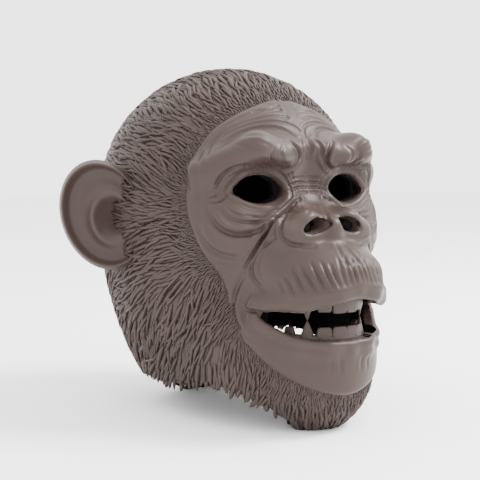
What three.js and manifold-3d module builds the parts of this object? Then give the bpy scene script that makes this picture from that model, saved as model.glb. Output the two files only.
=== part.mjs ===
import * as THREE from "three";
import Module from "manifold-3d";
import { mergeVertices } from "three/addons/utils/BufferGeometryUtils.js";

const wasm = await Module();
wasm.setup();

// Main sizes in mm: the face from chin to brow, and the head across and through without ears.
// The tables hold shares of them: heights, radii and blends of FACE_HEIGHT, places and half sizes
// across of HEAD_WIDTH, and from front to back of HEAD_DEPTH.
const FACE_HEIGHT = 200;
const HEAD_WIDTH = 230;
const HEAD_DEPTH = 236;
const WALL = 4;
const GAP = 0.3;
const DOME_Z = FACE_HEIGHT * 0.875;

// Surface grid, columns round the head and rows up it
const COLUMNS = 64;
const LOW_ROWS = 22;
const DOME_ROWS = 11;
const INNER_LOW_ROWS = 11;
const INNER_DOME_ROWS = 6;
const FRONT_CROWDING = 0.5;
const DOME_CROWDING = 1.3;

// Hair relief of the hood and the pointed tips along its lower edge
const LOCK_RELIEF = 1.4;
const TIP_FROM_DEG = 24;
const TIP_TO_DEG = 160;
const TIP_DROP = 7;

// Eye holes
const EYE_X = HEAD_WIDTH * 0.187;
const EYE_Z = FACE_HEIGHT * 0.95;
const EYE_WIDTH = 46;
const EYE_HEIGHT = 24;
const EYE_TILT_DEG = 4;
const EYE_FRONT_Y = -HEAD_DEPTH * 0.593;
const EYE_BACK_Y = -HEAD_DEPTH * 0.106;

// Nostrils
const NOSTRIL_X = HEAD_WIDTH * 0.074;
const NOSTRIL_Y = -HEAD_DEPTH * 0.458;
const NOSTRIL_Z = FACE_HEIGHT * 0.81;
const NOSTRIL_HALF_WIDTH = 11;
const NOSTRIL_HALF_DEPTH = 17;
const NOSTRIL_HALF_HEIGHT = 6.5;
const NOSTRIL_COLUMNS = 10;

// Mouth opening
const MOUTH_HALF_WIDTH = HEAD_WIDTH * 0.222;
const MOUTH_CORNER_Z = FACE_HEIGHT * 0.465;
const MOUTH_FRONT_Y = -HEAD_DEPTH * 0.805;
const MOUTH_BACK_Y = -HEAD_DEPTH * 0.254;

// Teeth, on gum bars that follow the lips
const ARCH_HALF_WIDTH = HEAD_WIDTH * 0.165;
const ARCH_DEPTH = HEAD_DEPTH * 0.199;
const ARCH_CENTRE_Y = -HEAD_DEPTH * 0.356;
const ARCH_STEPS = 18;
const GUM_THICKNESS = 6;
const GUM_HEIGHT = 9;
const UPPER_GUM_Z = FACE_HEIGHT * 0.525;
const LOWER_GUM_Z = FACE_HEIGHT * 0.35;
const TOOTH_WIDTH = 13;
const TOOTH_THICKNESS = 5;
const UPPER_TOOTH = 9;
const LOWER_TOOTH = 6;

// Ears
const EAR_ROOT_X = HEAD_WIDTH * 0.487;
const EAR_ROOT_Y = HEAD_DEPTH * 0.085;
const EAR_Z = FACE_HEIGHT * 0.84;
const EAR_REACH = 36;
const EAR_HALF_HEIGHT = 45;
const EAR_MIDDLE = 19;
const EAR_SHEAR = 0.13;
const EAR_CONCHA_OUT = 8;
const EAR_FLARE_DEG = 37;
const EAR_COLUMNS = 22;

// Main masses: middle, half sizes and the width of the blend
const MASSES = [
  { name: "cranium", x: 0, y: 0.161, z: 0.9, wide: 0.5, deep: 0.5, high: 0.575, blend: 0 },
  { name: "occiput", x: 0, y: 0.195, z: 0.58, wide: 0.461, deep: 0.39, high: 0.56, blend: 0.175 },
  { name: "neck", x: 0, y: 0.059, z: 0.42, wide: 0.417, deep: 0.449, high: 0.6, blend: 0.125 },
  { name: "upper face", x: 0, y: -0.144, z: 0.875, wide: 0.365, deep: 0.229, high: 0.36, blend: 0.11 },
  { name: "cheek", x: 0.261, y: -0.191, z: 0.77, wide: 0.135, deep: 0.131, high: 0.185, blend: 0.09 },
  { name: "muzzle root", x: 0, y: -0.288, z: 0.68, wide: 0.252, deep: 0.178, high: 0.22, blend: 0.11 },
  { name: "muzzle", x: 0, y: -0.39, z: 0.61, wide: 0.217, deep: 0.225, high: 0.155, blend: 0.08 },
  { name: "jaw", x: 0, y: -0.347, z: 0.26, wide: 0.235, deep: 0.229, high: 0.3, blend: 0.07 },
  { name: "jaw side", x: 0.174, y: -0.191, z: 0.29, wide: 0.174, deep: 0.229, high: 0.32, blend: 0.11 },
];

// Rolls of skin: both ends, the radius at each and the blend
const ROLLS = [
  {
    name: "inner brow", r1: 0.05, r2: 0.06, blend: 0.075,
    from: [0.057, -0.335, 1.08], to: [0.209, -0.322, 1.1],
  },
  {
    name: "outer brow", r1: 0.06, r2: 0.045, blend: 0.075,
    from: [0.209, -0.322, 1.1], to: [0.357, -0.212, 1.015],
  },
  {
    name: "nose tip", r1: 0.045, r2: 0.05, blend: 0.045,
    from: [0, -0.381, 0.865], to: [0, -0.462, 0.8],
  },
  {
    name: "nose wing", r1: 0.075, r2: 0.075, blend: 0.04,
    from: [0.087, -0.424, 0.81], to: [0.13, -0.407, 0.775],
  },
  {
    name: "upper lip", r1: 0.045, r2: 0.045, blend: 0.05,
    from: [0, -0.589, 0.575], to: [0.148, -0.504, 0.525],
  },
  {
    name: "upper corner", r1: 0.045, r2: 0.035, blend: 0.05,
    from: [0.148, -0.504, 0.525], to: [0.226, -0.381, 0.505],
  },
  {
    name: "lower lip", r1: 0.04, r2: 0.04, blend: 0.04,
    from: [0, -0.559, 0.35], to: [0.148, -0.483, 0.365],
  },
  {
    name: "lower corner", r1: 0.04, r2: 0.03, blend: 0.04,
    from: [0.148, -0.483, 0.365], to: [0.226, -0.377, 0.44],
  },
];

// Hollows of the eye sockets and of the nose bridge: middle, half sizes and blend
const HOLLOWS = [
  { x: 0.2, y: -0.381, z: 0.96, wide: 0.135, deep: 0.085, high: 0.085, blend: 0.05 },
  { x: 0, y: -0.432, z: 1, wide: 0.087, deep: 0.106, high: 0.12, blend: 0.07 },
];

// Lower edge: height at an angle from the chin, right and left side, shares of FACE_HEIGHT
const LOWER_EDGE = [
  { deg: 0, right: 0, left: 0 },
  { deg: 13, right: 0, left: 0 },
  { deg: 20, right: 0.06, left: 0.06 },
  { deg: 30, right: 0.12, left: 0.12 },
  { deg: 40, right: 0.155, left: 0.155 },
  { deg: 52, right: 0.18, left: 0.18 },
  { deg: 64, right: 0.175, left: 0.18 },
  { deg: 80, right: 0.145, left: 0.19 },
  { deg: 96, right: 0.15, left: 0.22 },
  { deg: 108, right: 0.16, left: 0.25 },
  { deg: 126, right: 0.15, left: 0.27 },
  { deg: 142, right: 0.12, left: 0.25 },
  { deg: 156, right: 0.05, left: 0.1 },
  { deg: 168, right: 0, left: 0 },
  { deg: 180, right: 0, left: 0 },
];

// Hairline from the chin to the top of the forehead: height at an angle, share of FACE_HEIGHT
const HAIRLINE = [
  { up: 0.18, deg: 0 },
  { up: 0.2, deg: 9 },
  { up: 0.24, deg: 18 },
  { up: 0.295, deg: 26 },
  { up: 0.35, deg: 32 },
  { up: 0.405, deg: 37 },
  { up: 0.465, deg: 40 },
  { up: 0.54, deg: 43 },
  { up: 0.6, deg: 46 },
  { up: 0.66, deg: 50 },
  { up: 0.72, deg: 54 },
  { up: 0.79, deg: 58 },
  { up: 0.86, deg: 62 },
  { up: 0.94, deg: 64 },
  { up: 1.09, deg: 62 },
  { up: 1.15, deg: 59 },
  { up: 1.2, deg: 53 },
  { up: 1.25, deg: 40 },
  { up: 1.285, deg: 21 },
  { up: 1.305, deg: 0 },
];

// Upper and lower edge of the mouth by share of its half width, heights as shares of FACE_HEIGHT
const UPPER_LIP_EDGE = [
  { across: 0, up: 0.525 },
  { across: 0.4, up: 0.515 },
  { across: 0.7, up: 0.485 },
  { across: 0.9, up: 0.472 },
];
const LOWER_LIP_EDGE = [
  { across: 0.95, up: 0.445 },
  { across: 0.86, up: 0.41 },
  { across: 0.66, up: 0.39 },
  { across: 0.35, up: 0.388 },
  { across: 0, up: 0.388 },
];

// Teeth of one side: place along the arch in degrees from its middle, then shares of TOOTH_WIDTH,
// UPPER_TOOTH and LOWER_TOOTH
const TEETH = [
  { deg: 9, wide: 1, upper: 1, lower: 1, pointed: false },
  { deg: 28, wide: 0.92, upper: 0.9, lower: 1, pointed: false },
  { deg: 47, wide: 0.77, upper: 1.56, lower: 1.67, pointed: true },
  { deg: 68, wide: 0.69, upper: 0.56, lower: 0.83, pointed: false },
];

// Ear relief along a ray from the hollow to the outline, shares of the half height
const EAR_RELIEF = [
  { out: 0, front: -0.14, back: -0.3 },
  { out: 0.22, front: -0.12, back: -0.28 },
  { out: 0.42, front: 0.04, back: -0.24 },
  { out: 0.56, front: 0.02, back: -0.2 },
  { out: 0.72, front: -0.07, back: -0.18 },
  { out: 0.88, front: 0.1, back: -0.12 },
  { out: 0.96, front: 0.11, back: -0.05 },
];

const radians = THREE.MathUtils.degToRad;

// Smooth union of two distances
function joined(a, b, width) {
  if (width === 0) {
    return Math.min(a, b);
  }
  const h = THREE.MathUtils.clamp(0.5 + 0.5 * (b - a) / width, 0, 1);
  return b * (1 - h) + a * h - width * h * (1 - h);
}

// Distance to an ellipsoid row, signed, close to exact near the surface
function massDistance(p, m) {
  const x = p.x - m.x * HEAD_WIDTH;
  const y = p.y - m.y * HEAD_DEPTH;
  const z = p.z - m.z * FACE_HEIGHT;
  const a = m.wide * HEAD_WIDTH;
  const b = m.deep * HEAD_DEPTH;
  const c = m.high * FACE_HEIGHT;
  const k0 = Math.hypot(x / a, y / b, z / c);
  const k1 = Math.hypot(x / a ** 2, y / b ** 2, z / c ** 2) + 1e-9;
  return k0 * (k0 - 1) / k1;
}

// Point from its shares of the main sizes
function placed([across, through, up]) {
  return new THREE.Vector3(across * HEAD_WIDTH, through * HEAD_DEPTH, up * FACE_HEIGHT);
}

// Distance to a tapered roll
function rollDistance(p, roll) {
  const from = placed(roll.from);
  const along = placed(roll.to).sub(from);
  const offset = p.clone().sub(from);
  const t = THREE.MathUtils.clamp(offset.dot(along) / along.lengthSq(), 0, 1);
  return offset.addScaledVector(along, -t).length() - THREE.MathUtils.lerp(roll.r1, roll.r2, t) * FACE_HEIGHT;
}

// Signed distance to the head's outer form, the same on both sides
function headDistance(point) {
  const p = new THREE.Vector3(Math.abs(point.x), point.y, point.z);
  let d = Infinity;
  for (const mass of MASSES) {
    d = d === Infinity ? massDistance(p, mass) : joined(d, massDistance(p, mass), mass.blend * FACE_HEIGHT);
  }
  for (const roll of ROLLS) {
    d = joined(d, rollDistance(p, roll), roll.blend * FACE_HEIGHT);
  }
  for (const hollow of HOLLOWS) {
    d = -joined(-d, massDistance(p, hollow), hollow.blend * FACE_HEIGHT);
  }
  return d;
}

// Point where a ray from outside meets the form grown by level
function meet(origin, direction, level) {
  let r = HEAD_DEPTH + FACE_HEIGHT / 4;
  for (let step = 0; step < 40; step++) {
    const p = origin.clone().addScaledVector(direction, r);
    r -= THREE.MathUtils.clamp((headDistance(p) - level) * 0.8, -3, 40);
  }
  return origin.clone().addScaledVector(direction, r);
}

// Smoothly interpolated table value
function tableValue(rows, key, field, value) {
  let i = 0;
  while (i < rows.length - 2 && value > rows[i + 1][key]) {
    i++;
  }
  const t = THREE.MathUtils.clamp((value - rows[i][key]) / (rows[i + 1][key] - rows[i][key]), 0, 1);
  return THREE.MathUtils.lerp(rows[i][field], rows[i + 1][field], THREE.MathUtils.smoothstep(t, 0, 1));
}

// Height of the lower edge at a column, every other column ending in a tip
function edgeHeight(j) {
  const angle = columnAngle(j);
  const deg = THREE.MathUtils.radToDeg(Math.abs(angle));
  const low = tableValue(LOWER_EDGE, "deg", angle > 0 ? "left" : "right", deg) * FACE_HEIGHT;
  const tipped = j % 2 === 0 && deg > TIP_FROM_DEG && deg < TIP_TO_DEG;
  return tipped ? Math.max(low - TIP_DROP, 0) : low;
}

// Staggered locks of the hood stand out from the skin
function relief(i, j, point) {
  const deg = THREE.MathUtils.radToDeg(Math.atan2(Math.abs(point.x), -point.y));
  const up = point.z / FACE_HEIGHT;
  const beside = deg < tableValue(HAIRLINE, "up", "deg", up) + 6;
  const bare = beside && up > HAIRLINE[0].up && up < HAIRLINE.at(-1).up;
  const crown = Math.min(Math.hypot(point.x, point.y) * 2 / HEAD_WIDTH, 1);
  return bare || (i + j) % 2 === 0 || i === 0 ? 0 : LOCK_RELIEF * crown;
}

function columnAngle(j) {
  const t = 2 * Math.PI * (j / COLUMNS - 0.5);
  return t - FRONT_CROWDING * Math.sin(t);
}

function flatDirection(angle) {
  return new THREE.Vector3(Math.sin(angle), -Math.cos(angle), 0);
}

// Point of the form at an angle and height, on a level ray
function pointAt(angle, height, level = 0) {
  return meet(new THREE.Vector3(0, 0, height), flatDirection(angle), level);
}

// Rings of points up the head from its lower edge, and the one point at the top
function headRings(level, lowRows, domeRows, withRelief) {
  const centre = new THREE.Vector3(0, 0, DOME_Z);
  const rings = [];
  for (let i = 0; i < lowRows + domeRows; i++) {
    const ring = [];
    for (let j = 0; j < COLUMNS; j++) {
      const rise = Math.max((i - lowRows) / domeRows, 0) ** DOME_CROWDING * Math.PI / 2;
      const direction = flatDirection(columnAngle(j)).multiplyScalar(Math.cos(rise));
      direction.z = Math.sin(rise);
      const origin = centre.clone();
      origin.z = THREE.MathUtils.lerp(edgeHeight(j), DOME_Z, Math.min(i / lowRows, 1));
      const point = meet(origin, direction, level);
      ring.push(withRelief ? point.addScaledVector(direction, relief(i, j, point)) : point);
    }
    rings.push(ring);
  }
  return { rings, top: meet(centre, new THREE.Vector3(0, 0, 1), level) };
}

// Solid from a list of points and triangles
function solidFrom(points, triangles) {
  const vertProperties = new Float32Array(points.length * 3);
  points.forEach((p, i) => vertProperties.set([p.x, p.y, p.z], i * 3));
  const triVerts = new Uint32Array(triangles.flat());
  return new wasm.Manifold(new wasm.Mesh({ numProp: 3, vertProperties, triVerts }));
}

// Solid from a three.js geometry
function solidOf(geometry) {
  const bare = geometry.clone();
  bare.deleteAttribute("normal");
  bare.deleteAttribute("uv");
  const welded = mergeVertices(bare, 1e-4);
  const place = welded.attributes.position;
  const points = [];
  for (let i = 0; i < place.count; i++) {
    points.push(new THREE.Vector3().fromBufferAttribute(place, i));
  }
  const index = Array.from(welded.index.array);
  const triangles = [];
  for (let i = 0; i < index.length; i += 3) {
    const [a, b, c] = index.slice(i, i + 3);
    if (a !== b && b !== c && a !== c) {
      triangles.push([a, b, c]);
    }
  }
  return solidFrom(points, triangles);
}

// Triangles between two rings of equal length that start at the given indices
function band(lower, upper, count, flipped = false) {
  const triangles = [];
  for (let j = 0; j < count; j++) {
    const k = (j + 1) % count;
    const quad = [[lower + j, lower + k, upper + k], [lower + j, upper + k, upper + j]];
    for (const [a, b, c] of quad) {
      triangles.push(flipped ? [a, c, b] : [a, b, c]);
    }
  }
  return triangles;
}

// Fan from a ring to one point
function fan(ring, tip, count, flipped = false) {
  const triangles = [];
  for (let j = 0; j < count; j++) {
    const k = (j + 1) % count;
    triangles.push(flipped ? [ring + k, ring + j, tip] : [ring + j, ring + k, tip]);
  }
  return triangles;
}

// Closed wall between the outer and inner form
function headShell() {
  const outer = headRings(0, LOW_ROWS, DOME_ROWS, true);
  const inner = headRings(-WALL, INNER_LOW_ROWS, INNER_DOME_ROWS, false);
  const points = [...outer.rings.flat(), outer.top, ...inner.rings.flat(), inner.top];
  const outerTop = outer.rings.length * COLUMNS;
  const innerStart = outerTop + 1;
  const innerTop = innerStart + inner.rings.length * COLUMNS;
  const triangles = [];
  for (let i = 0; i < outer.rings.length - 1; i++) {
    triangles.push(...band(i * COLUMNS, (i + 1) * COLUMNS, COLUMNS));
  }
  triangles.push(...fan(outerTop - COLUMNS, outerTop, COLUMNS));
  for (let i = 0; i < inner.rings.length - 1; i++) {
    triangles.push(...band(innerStart + i * COLUMNS, innerStart + (i + 1) * COLUMNS, COLUMNS, true));
  }
  triangles.push(...fan(innerTop - COLUMNS, innerTop, COLUMNS, true));
  triangles.push(...band(0, innerStart, COLUMNS, true));
  return solidFrom(points, triangles);
}

// Filled form at a level with a straight skirt below, to trim what sits on or inside the head
function filledHead(level, lowRows, domeRows, withRelief) {
  const { rings, top } = headRings(level, lowRows, domeRows, withRelief);
  const skirt = rings[0].map((p) => p.clone().setZ(-FACE_HEIGHT / 4));
  rings.unshift(skirt);
  const points = [...rings.flat(), top, new THREE.Vector3(0, 0, -FACE_HEIGHT / 4)];
  const topIndex = rings.length * COLUMNS;
  const triangles = [];
  for (let i = 0; i < rings.length - 1; i++) {
    triangles.push(...band(i * COLUMNS, (i + 1) * COLUMNS, COLUMNS));
  }
  triangles.push(...fan(topIndex - COLUMNS, topIndex, COLUMNS));
  triangles.push(...fan(0, topIndex + 1, COLUMNS, true));
  return solidFrom(points, triangles);
}

// Cone of rays through the hairline, grown outward by a margin along the surface
function hairlineCone(margin) {
  const unrolled = ({ deg, up }) => new THREE.Vector2(radians(deg) * HEAD_WIDTH / 2, up * FACE_HEIGHT);
  const left = HAIRLINE.map(unrolled);
  const right = left.slice(1, -1).reverse().map((v) => new THREE.Vector2(-v.x, v.y));
  const loop = [...left, ...right];
  const count = loop.length;
  const inner = [];
  const outer = [];
  loop.forEach((v, i) => {
    const along = loop[(i + 1) % count].clone().sub(loop[(i + count - 1) % count]).normalize();
    const u = v.x + along.y * margin;
    const z = v.y - along.x * margin;
    const surface = pointAt(u / (HEAD_WIDTH / 2), z);
    const centre = new THREE.Vector3(0, 0, Math.min(z, DOME_Z));
    inner.push(centre.clone().lerp(surface, 0.4));
    outer.push(centre.clone().lerp(surface, 1.6));
  });
  const points = [...inner, ...outer, placed([0, -0.085, 0.7]), placed([0, -1.36, 0.6])];
  const triangles = band(0, count, count);
  triangles.push(...fan(0, 2 * count, count, true));
  triangles.push(...fan(count, 2 * count + 1, count));
  return solidFrom(points, triangles);
}

// Prism between two depths with an outline seen from the front
function frontPrism(outline, frontY, backY) {
  const shape = new THREE.Shape(outline);
  const geometry = new THREE.ExtrudeGeometry(shape, { depth: backY - frontY, bevelEnabled: false });
  geometry.rotateX(Math.PI / 2);
  geometry.translate(0, backY, 0);
  return solidOf(geometry);
}

function eyeCutter(side) {
  const corner = EYE_WIDTH / 2;
  const bow = EYE_HEIGHT * 0.66;
  const almond = new THREE.Shape();
  almond.moveTo(-corner, 0);
  almond.bezierCurveTo(-corner / 2, bow, corner / 2, bow, corner, 0);
  almond.bezierCurveTo(corner / 2, -bow, -corner / 2, -bow, -corner, 0);
  const tilt = -side * radians(EYE_TILT_DEG);
  const outline = almond.getPoints(8).map((v) => v.rotateAround(new THREE.Vector2(), tilt));
  outline.pop();
  outline.forEach((v) => v.add(new THREE.Vector2(side * EYE_X, EYE_Z)));
  return frontPrism(outline, EYE_FRONT_Y, EYE_BACK_Y);
}

function nostrilCutter(side) {
  const geometry = new THREE.SphereGeometry(1, NOSTRIL_COLUMNS, NOSTRIL_COLUMNS - 3);
  geometry.scale(NOSTRIL_HALF_WIDTH, NOSTRIL_HALF_DEPTH, NOSTRIL_HALF_HEIGHT);
  geometry.translate(side * NOSTRIL_X, NOSTRIL_Y, NOSTRIL_Z);
  return solidOf(geometry);
}

// Mouth opening, drawn in by an inset all round
function mouthCutter(inset) {
  const inward = (z) => z - Math.sign(z - MOUTH_CORNER_Z) * inset;
  const half = [
    ...UPPER_LIP_EDGE,
    { across: 1, up: MOUTH_CORNER_Z / FACE_HEIGHT },
    ...LOWER_LIP_EDGE,
  ].map(({ across, up }) => new THREE.Vector2(across * (MOUTH_HALF_WIDTH - inset), inward(up * FACE_HEIGHT)));
  const other = half.slice(1, -1).reverse().map((v) => new THREE.Vector2(-v.x, v.y));
  return frontPrism([...half, ...other], MOUTH_FRONT_Y, MOUTH_BACK_Y);
}

// Point and outward turn of the tooth arch at an angle from its middle
function archPoint(angle, inset) {
  const x = Math.sin(angle) * (ARCH_HALF_WIDTH - inset);
  const y = ARCH_CENTRE_Y - Math.cos(angle) * (ARCH_DEPTH - inset);
  return new THREE.Vector2(x, y);
}

// Row of teeth on a curved gum bar, hanging down or standing up
function toothRow(gumZ, standing) {
  const reach = radians(80);
  const outline = [];
  for (let i = 0; i <= ARCH_STEPS; i++) {
    outline.push(archPoint(THREE.MathUtils.lerp(-reach, reach, i / ARCH_STEPS), 0));
  }
  for (let i = ARCH_STEPS; i >= 0; i--) {
    outline.push(archPoint(THREE.MathUtils.lerp(-reach, reach, i / ARCH_STEPS), GUM_THICKNESS));
  }
  const bar = new THREE.ExtrudeGeometry(new THREE.Shape(outline), { depth: GUM_HEIGHT, bevelEnabled: false });
  bar.translate(0, 0, gumZ);
  let row = solidOf(bar);
  const gumEdge = standing ? gumZ + GUM_HEIGHT : gumZ;
  for (const side of [-1, 1]) {
    for (const tooth of TEETH) {
      const length = (standing ? tooth.lower * LOWER_TOOTH : tooth.upper * UPPER_TOOTH) + GUM_HEIGHT / 2;
      const tip = tooth.pointed ? 0.12 : 0.86;
      const crown = new THREE.CylinderGeometry(Math.SQRT1_2, Math.SQRT1_2 * tip, length, 4, 1);
      crown.rotateY(Math.PI / 4);
      crown.scale(tooth.wide * TOOTH_WIDTH, 1, tooth.pointed ? TOOTH_THICKNESS * 1.5 : TOOTH_THICKNESS);
      crown.rotateX(standing ? -Math.PI / 2 : Math.PI / 2);
      const angle = side * radians(tooth.deg);
      crown.rotateZ(angle);
      const at = archPoint(angle, GUM_THICKNESS / 2);
      crown.translate(at.x, at.y, gumEdge + (standing ? 1 : -1) * (length - GUM_HEIGHT) / 2);
      row = row.add(solidOf(crown));
    }
  }
  return row;
}

// Ear: dish with a rolled rim, an inner ridge and a deep hollow
function ear(side) {
  const flare = radians(EAR_FLARE_DEG);
  const out = new THREE.Vector3(side * Math.cos(flare), Math.sin(flare), 0);
  const facing = new THREE.Vector3(side * Math.sin(flare), -Math.cos(flare), 0);
  const root = new THREE.Vector3(side * EAR_ROOT_X, EAR_ROOT_Y, EAR_Z);
  const place = (reach, angle, height) => {
    const up = Math.sin(angle) * EAR_HALF_HEIGHT;
    const edge = EAR_MIDDLE + Math.cos(angle) * EAR_REACH + up * EAR_SHEAR;
    return root.clone()
      .addScaledVector(out, THREE.MathUtils.lerp(EAR_CONCHA_OUT, edge, reach))
      .add(new THREE.Vector3(0, 0, up * reach))
      .addScaledVector(facing, height * EAR_HALF_HEIGHT);
  };
  const layers = [
    ...EAR_RELIEF.slice(1).map((row) => [row.out, row.front]),
    [1, 0.03],
    ...EAR_RELIEF.slice(1).reverse().map((row) => [row.out, row.back]),
  ];
  const points = [];
  for (const [reach, height] of layers) {
    for (let j = 0; j < EAR_COLUMNS; j++) {
      points.push(place(reach, 2 * Math.PI * j / EAR_COLUMNS, height));
    }
  }
  const frontPole = points.push(place(0, 0, EAR_RELIEF[0].front)) - 1;
  const backPole = points.push(place(0, 0, EAR_RELIEF[0].back)) - 1;
  const turned = side > 0;
  const triangles = [];
  for (let i = 0; i < layers.length - 1; i++) {
    triangles.push(...band(i * EAR_COLUMNS, (i + 1) * EAR_COLUMNS, EAR_COLUMNS, turned));
  }
  triangles.push(...fan(0, frontPole, EAR_COLUMNS, !turned));
  triangles.push(...fan((layers.length - 1) * EAR_COLUMNS, backPole, EAR_COLUMNS, turned));
  return solidFrom(points, triangles);
}

function meshOf(name, solid, color, roughness) {
  const data = solid.getMesh();
  const geometry = new THREE.BufferGeometry();
  geometry.setAttribute("position", new THREE.BufferAttribute(new Float32Array(data.vertProperties), 3));
  geometry.setIndex(new THREE.BufferAttribute(new Uint32Array(data.triVerts), 1));
  geometry.computeVertexNormals();
  const mesh = new THREE.Mesh(geometry, new THREE.MeshStandardMaterial({ color, roughness, metalness: 0 }));
  mesh.name = name;
  return mesh;
}

// Largest body that a cut leaves
function largest(solid) {
  return solid.decompose().sort((a, b) => b.volume() - a.volume())[0];
}

const shell = headShell();
let face = shell.intersect(hairlineCone(-GAP / 2)).subtract(mouthCutter(0));
let hood = shell.subtract(hairlineCone(GAP / 2));
for (const side of [-1, 1]) {
  face = face.subtract(eyeCutter(side)).subtract(nostrilCutter(side));
}
const outerForm = filledHead(GAP, LOW_ROWS, DOME_ROWS, true);
const toothRoom = filledHead(-WALL - GAP, INNER_LOW_ROWS, INNER_DOME_ROWS, false).add(mouthCutter(GAP));

const parts = [
  ["face_skin", face, 0x7d706a, 0.45],
  ["fur_hood", hood, 0x5c504b, 0.6],
  ["ear_right", largest(ear(-1).subtract(outerForm)), 0x6b605b, 0.5],
  ["ear_left", largest(ear(1).subtract(outerForm)), 0x6b605b, 0.5],
  ["upper_teeth", largest(toothRow(UPPER_GUM_Z, false).intersect(toothRoom)), 0x6e635d, 0.4],
  ["lower_teeth", largest(toothRow(LOWER_GUM_Z, true).intersect(toothRoom)), 0x6e635d, 0.4],
];

const group = new THREE.Group();
group.name = "monkey_mask";
for (const [name, solid, color, roughness] of parts) {
  group.add(meshOf(name, solid, color, roughness));
}

// Origin at the middle of the bounding box, on the floor
const box = new THREE.Box3().setFromObject(group);
const middle = box.getCenter(new THREE.Vector3());
for (const mesh of group.children) {
  mesh.geometry.translate(-middle.x, -middle.y, -box.min.z);
}

export default group;
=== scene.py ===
import math
import bpy
import numpy as np
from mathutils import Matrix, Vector


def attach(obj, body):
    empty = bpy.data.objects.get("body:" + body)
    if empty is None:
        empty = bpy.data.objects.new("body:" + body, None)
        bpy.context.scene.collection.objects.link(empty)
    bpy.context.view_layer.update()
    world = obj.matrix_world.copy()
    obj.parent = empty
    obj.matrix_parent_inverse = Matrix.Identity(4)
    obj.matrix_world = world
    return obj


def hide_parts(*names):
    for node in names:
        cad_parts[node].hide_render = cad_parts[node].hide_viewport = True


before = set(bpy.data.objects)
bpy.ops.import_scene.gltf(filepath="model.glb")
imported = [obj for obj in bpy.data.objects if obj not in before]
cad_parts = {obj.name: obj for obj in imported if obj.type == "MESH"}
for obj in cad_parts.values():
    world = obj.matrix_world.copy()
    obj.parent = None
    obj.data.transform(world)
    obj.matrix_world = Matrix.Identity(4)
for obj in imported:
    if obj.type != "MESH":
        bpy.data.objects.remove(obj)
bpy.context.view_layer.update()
MM = 0.001
RNG = np.random.default_rng(7)

# Camera at the photograph's angle, in mm and degrees
CAM_AZ = -33.5
CAM_EL = 4.0
CAM_DIST = 900.0
CAM_TARGET = np.array([-4.8, 12.0, 143.7])
CAM_PX = 1027.0

# Form of the head in mm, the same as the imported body's
FACE = 200.0
WALL = 4.0
DOME_Z = 175.0
MASSES = [
    # x, y, z, half width, half depth, half height, blend
    (0, 38, 180, 115, 118, 115, 0),
    (0, 46, 116, 106, 92, 112, 35),
    (0, 14, 84, 96, 106, 120, 25),
    (0, -34, 175, 84, 54, 72, 22),
    (60, -45, 154, 31, 31, 37, 18),
    (0, -68, 136, 58, 42, 44, 22),
    (0, -92, 122, 50, 53, 31, 16),
    (0, -82, 52, 54, 54, 60, 14),
    (40, -45, 58, 40, 54, 64, 22),
]
ROLLS = [
    # from, to, radius at each end, blend
    ((13, -79, 216), (48, -76, 220), 10, 12, 15),
    ((48, -76, 220), (82, -50, 203), 12, 9, 15),
    ((0, -90, 173), (0, -109, 160), 9, 10, 9),
    ((20, -100, 162), (30, -96, 155), 15, 15, 8),
    ((0, -137, 115), (16, -134, 111), 9, 9, 10),
    ((16, -134, 111), (34, -119, 105), 9, 9, 10),
    ((34, -119, 105), (52, -90, 101), 9, 7, 10),
    ((0, -130, 70), (17, -127, 71), 8, 8, 8),
    ((17, -127, 71), (34, -114, 73), 8, 8, 8),
    ((34, -114, 73), (52, -89, 88), 8, 6, 8),
]
HOLLOWS = [
    # eye socket and nose bridge: middle, half sizes and blend
    (46, -90, 192, 31, 20, 17, 10),
    (0, -102, 200, 20, 25, 24, 14),
]
HAIRLINE = [
    # height, angle from the middle
    (36, 0), (40, 9), (48, 18), (59, 26), (70, 32), (81, 37), (93, 40), (108, 43), (120, 46), (132, 50),
    (144, 54), (158, 58), (172, 62), (188, 64), (205, 63), (218, 62), (230, 59), (240, 53), (250, 40),
    (257, 21), (261, 0),
]
LOWER_EDGE = [
    # angle, right height, left height
    (0, 0, 0), (13, 0, 0), (20, 12, 12), (30, 24, 24), (40, 31, 31), (52, 36, 36), (64, 35, 36),
    (80, 29, 38), (96, 30, 44), (108, 32, 50), (126, 30, 54), (142, 24, 50), (156, 10, 20), (168, 0, 0),
    (180, 0, 0),
]


def joined(a, b, k):
    if k == 0:
        return np.minimum(a, b)
    h = np.clip(0.5 + 0.5 * (b - a) / k, 0, 1)
    return b * (1 - h) + a * h - k * h * (1 - h)


def mass_distance(p, m):
    q = p - np.array(m[:3], float)
    r = np.array(m[3:6], float)
    k0 = np.linalg.norm(q / r, axis=-1)
    k1 = np.linalg.norm(q / r ** 2, axis=-1) + 1e-9
    return k0 * (k0 - 1) / k1


def roll_distance(p, a, b, ra, rb):
    a = np.array(a, float)
    ab = np.array(b, float) - a
    t = np.clip(((p - a) @ ab) / (ab @ ab), 0, 1)
    return np.linalg.norm(p - a - t[..., None] * ab, axis=-1) - (ra + (rb - ra) * t)


def head(p):
    """Signed distance to the head's outer form."""
    p = np.stack([np.abs(p[..., 0]), p[..., 1], p[..., 2]], -1)
    d = None
    for m in MASSES:
        e = mass_distance(p, m)
        d = e if d is None else joined(d, e, m[6])
    for a, b, ra, rb, k in ROLLS:
        d = joined(d, roll_distance(p, a, b, ra, rb), k)
    for hollow in HOLLOWS:
        d = -joined(-d, mass_distance(p, hollow), hollow[6])
    return d


def gradient(p, e=0.6):
    steps = np.eye(3) * e
    g = np.stack([head(p + s) - head(p - s) for s in steps], -1)
    return g / (np.linalg.norm(g, axis=-1, keepdims=True) + 1e-9)


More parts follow.
